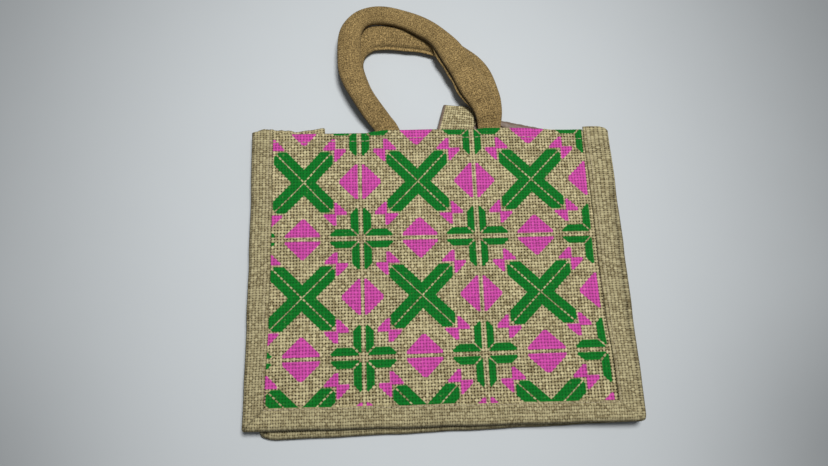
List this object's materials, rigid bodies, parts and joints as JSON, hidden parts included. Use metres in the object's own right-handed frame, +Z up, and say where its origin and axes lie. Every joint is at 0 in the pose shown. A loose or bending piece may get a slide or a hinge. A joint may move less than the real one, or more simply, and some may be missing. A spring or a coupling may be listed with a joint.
{
  "type": "burlap bag",
  "caption": "Small jute gift or lunch bag with a printed front, bound seams, folded gusset, padded loop handles and a closing tab, lying collapsed on its back.",
  "frame": {"origin": "on the surface that the bag lies on, under the middle of the front panel", "axes": "+Z up out of the printed front, +Y from the bag's bottom to its mouth and handles, +X to the right of the print"},
  "size_m": [0.263, 0.3092, 0.0165],
  "materials": {
    "printed_burlap": "matte woven jute",
    "plain_burlap": "matte woven jute",
    "gusset_burlap": "matte woven jute",
    "front_binding_burlap": "matte woven jute",
    "back_binding_burlap": "matte woven jute",
    "front_handle_jute": "matte woven jute",
    "back_handle_jute": "matte woven jute",
    "tab_burlap": "matte woven jute"
  },
  "bodies": {
    "root": {"front_panel": "printed_burlap", "back_panel": "plain_burlap", "gusset": "gusset_burlap", "front_binding": "front_binding_burlap", "back_binding": "back_binding_burlap", "front_handle": "front_handle_jute", "back_handle": "back_handle_jute", "closing_tab": "tab_burlap"}
  },
  "joints": []
}
